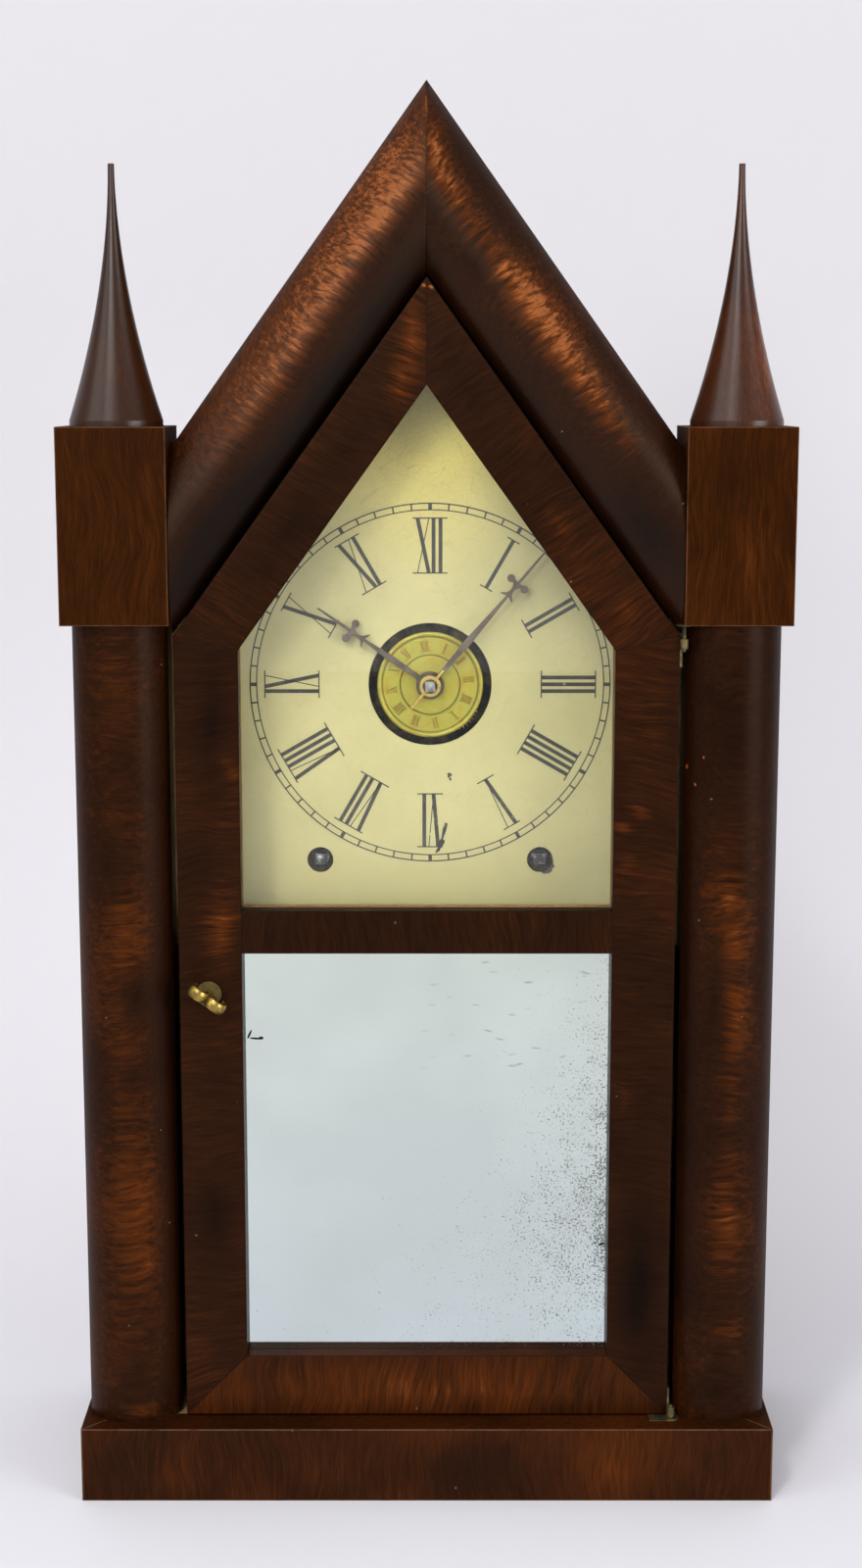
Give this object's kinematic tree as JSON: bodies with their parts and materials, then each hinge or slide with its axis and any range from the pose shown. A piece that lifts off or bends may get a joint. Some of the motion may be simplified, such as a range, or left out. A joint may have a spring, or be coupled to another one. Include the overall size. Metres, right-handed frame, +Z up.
{
  "type": "steeple clock",
  "caption": "Sharp-gabled shelf clock with half-round veneered columns and gable, turned spires, hinged door with dial glass and looking glass, and a spring movement.",
  "frame": {"origin": "centre of the case's footprint on the surface that it stands on", "axes": "+X to the viewer's right, -Y out of the door towards the viewer, +Z up"},
  "size_m": [0.256, 0.105, 0.508],
  "materials": {
    "dark_veneer": "gloss",
    "case_veneer": "satin",
    "base_veneer": "satin",
    "block_veneer": "satin",
    "turned_wood": "gloss",
    "pine": "matte",
    "dial_paint": "satin",
    "clear_glass": "gloss",
    "looking_glass": "gloss",
    "old_brass": "satin",
    "movement_brass": "satin",
    "bright_steel": "satin",
    "browned_steel": "satin",
    "gong_iron": "matte"
  },
  "bodies": {
    "case": {"base_front_board": "base_veneer", "base_left_return": "base_veneer", "base_right_return": "base_veneer", "floor_board": "pine", "left_side_board": "case_veneer", "right_side_board": "case_veneer", "left_roof_board": "case_veneer", "right_roof_board": "case_veneer", "back_board": "pine", "left_column": "dark_veneer", "right_column": "dark_veneer", "left_capital_block": "block_veneer", "right_capital_block": "block_veneer", "left_spire": "turned_wood", "right_spire": "turned_wood", "left_gable_moulding": "dark_veneer", "right_gable_moulding": "dark_veneer", "dial_rails": "pine", "case_hinge_leaves": "old_brass", "dial_plate": "dial_paint", "front_plate": "movement_brass", "back_plate": "movement_brass", "movement_feet": "bright_steel", "mainsprings": "bright_steel", "gong_stand": "gong_iron", "gong_coil": "browned_steel"},
    "door": {"left_door_stile": "dark_veneer", "right_door_stile": "dark_veneer", "left_door_rake": "dark_veneer", "right_door_rake": "dark_veneer", "door_mid_rail": "dark_veneer", "door_bottom_rail": "dark_veneer", "upper_glass": "clear_glass", "mirror_glass": "looking_glass", "mirror_panel": "pine", "glazing_beads": "pine", "knob_escutcheon": "old_brass", "door_hinge_leaves": "old_brass"},
    "knob": {"door_turn_knob": "old_brass"},
    "minute_arbor": {"centre_arbor": "bright_steel", "minute_hand": "browned_steel"},
    "motion_wheel": {"minute_wheel": "movement_brass"},
    "hour_pipe": {"hour_wheel": "movement_brass", "hour_hand": "browned_steel"},
    "alarm_setting": {"alarm_disc": "old_brass"},
    "going_winder": {"going_winding_arbor": "bright_steel"},
    "going_great": {"going_great_wheel": "movement_brass"},
    "going_second": {"going_second_wheel": "movement_brass"},
    "going_centre": {"centre_wheel": "movement_brass"},
    "going_third": {"third_wheel": "movement_brass"},
    "escape": {"escape_wheel": "movement_brass"},
    "verge_arbor": {"verge": "bright_steel"},
    "pendulum": {"pendulum_rod": "bright_steel", "pendulum_bob": "movement_brass"},
    "strike_winder": {"strike_winding_arbor": "bright_steel"},
    "strike_great": {"strike_great_wheel": "movement_brass"},
    "strike_second": {"strike_second_wheel": "movement_brass"},
    "strike_third": {"strike_third_wheel": "movement_brass"},
    "strike_fly": {"fly": "movement_brass"},
    "hammer": {"strike_hammer": "bright_steel"}
  },
  "joints": [
    {"name": "door_hinge", "type": "hinge", "parent": "case", "child": "door", "pos_m": [0.09035, -0.0425, 0.1758], "axis": [0, 0, 1], "range_deg": [0, 95]},
    {"name": "knob_turn", "type": "hinge", "parent": "door", "child": "knob", "pos_m": [-0.0786, 0, 0.1895], "axis": [0, 1, 0], "range_deg": [0, 90]},
    {"name": "minute_turn", "type": "hinge", "parent": "case", "child": "minute_arbor", "pos_m": [0.0012, 0, 0.298], "axis": [0, 1, 0], "continuous": true},
    {"name": "minute_wheel_turn", "type": "hinge", "parent": "case", "child": "motion_wheel", "pos_m": [0.00969, 0, 0.28952], "axis": [0, 1, 0], "continuous": true},
    {"name": "hour_turn", "type": "hinge", "parent": "case", "child": "hour_pipe", "pos_m": [0.0012, 0, 0.298], "axis": [0, 1, 0], "continuous": true},
    {"name": "alarm_set", "type": "hinge", "parent": "hour_pipe", "child": "alarm_setting", "pos_m": [0.0012, 0, 0.298], "axis": [0, 1, 0], "continuous": true},
    {"name": "going_wind", "type": "hinge", "parent": "case", "child": "going_winder", "pos_m": [0.0418, 0, 0.2327], "axis": [0, 1, 0], "continuous": true},
    {"name": "going_great_turn", "type": "hinge", "parent": "case", "child": "going_great", "pos_m": [0.0418, 0, 0.2327], "axis": [0, 1, 0], "continuous": true},
    {"name": "going_second_turn", "type": "hinge", "parent": "case", "child": "going_second", "pos_m": [0.02841, 0, 0.27218], "axis": [0, 1, 0], "continuous": true},
    {"name": "centre_wheel_turn", "type": "hinge", "parent": "case", "child": "going_centre", "pos_m": [0.0012, 0, 0.298], "axis": [0, 1, 0], "continuous": true},
    {"name": "third_wheel_turn", "type": "hinge", "parent": "case", "child": "going_third", "pos_m": [0.01083, 0, 0.32149], "axis": [0, 1, 0], "continuous": true},
    {"name": "escape_turn", "type": "hinge", "parent": "case", "child": "escape", "pos_m": [0.0012, 0, 0.34245], "axis": [0, 1, 0], "continuous": true},
    {"name": "verge_rock", "type": "hinge", "parent": "case", "child": "verge_arbor", "pos_m": [0.0012, 0, 0.3585], "axis": [0, 1, 0], "range_deg": [-4, 4]},
    {"name": "pendulum_swing", "type": "hinge", "parent": "case", "child": "pendulum", "pos_m": [0.0012, 0, 0.3585], "axis": [0, 1, 0], "range_deg": [-4, 4]},
    {"name": "strike_wind", "type": "hinge", "parent": "case", "child": "strike_winder", "pos_m": [-0.0394, 0, 0.2327], "axis": [0, 1, 0], "continuous": true},
    {"name": "strike_great_turn", "type": "hinge", "parent": "case", "child": "strike_great", "pos_m": [-0.0394, 0, 0.2327], "axis": [0, 1, 0], "continuous": true},
    {"name": "strike_second_turn", "type": "hinge", "parent": "case", "child": "strike_second", "pos_m": [-0.04664, 0, 0.27375], "axis": [0, 1, 0], "continuous": true},
    {"name": "strike_third_turn", "type": "hinge", "parent": "case", "child": "strike_third", "pos_m": [-0.02915, 0, 0.29459], "axis": [0, 1, 0], "continuous": true},
    {"name": "fly_turn", "type": "hinge", "parent": "case", "child": "strike_fly", "pos_m": [-0.03216, 0, 0.31165], "axis": [0, 1, 0], "continuous": true},
    {"name": "hammer_lift", "type": "hinge", "parent": "case", "child": "hammer", "pos_m": [-0.0288, 0, 0.205], "axis": [0, 1, 0], "range_deg": [0, 8]}
  ],
  "couplings": [
    {"joint": "minute_wheel_turn", "follows": "minute_turn", "ratio": -0.33333},
    {"joint": "hour_turn", "follows": "minute_turn", "ratio": 0.083333},
    {"joint": "escape_turn", "follows": "third_wheel_turn", "ratio": -9},
    {"joint": "centre_wheel_turn", "follows": "third_wheel_turn", "ratio": -0.1},
    {"joint": "going_second_turn", "follows": "third_wheel_turn", "ratio": 0.0125},
    {"joint": "going_great_turn", "follows": "third_wheel_turn", "ratio": -0.0015625},
    {"joint": "verge_rock", "follows": "pendulum_swing", "ratio": 1},
    {"joint": "fly_turn", "follows": "strike_third_turn", "ratio": -8},
    {"joint": "strike_second_turn", "follows": "strike_third_turn", "ratio": -0.13333},
    {"joint": "strike_great_turn", "follows": "strike_third_turn", "ratio": 0.016667}
  ]
}
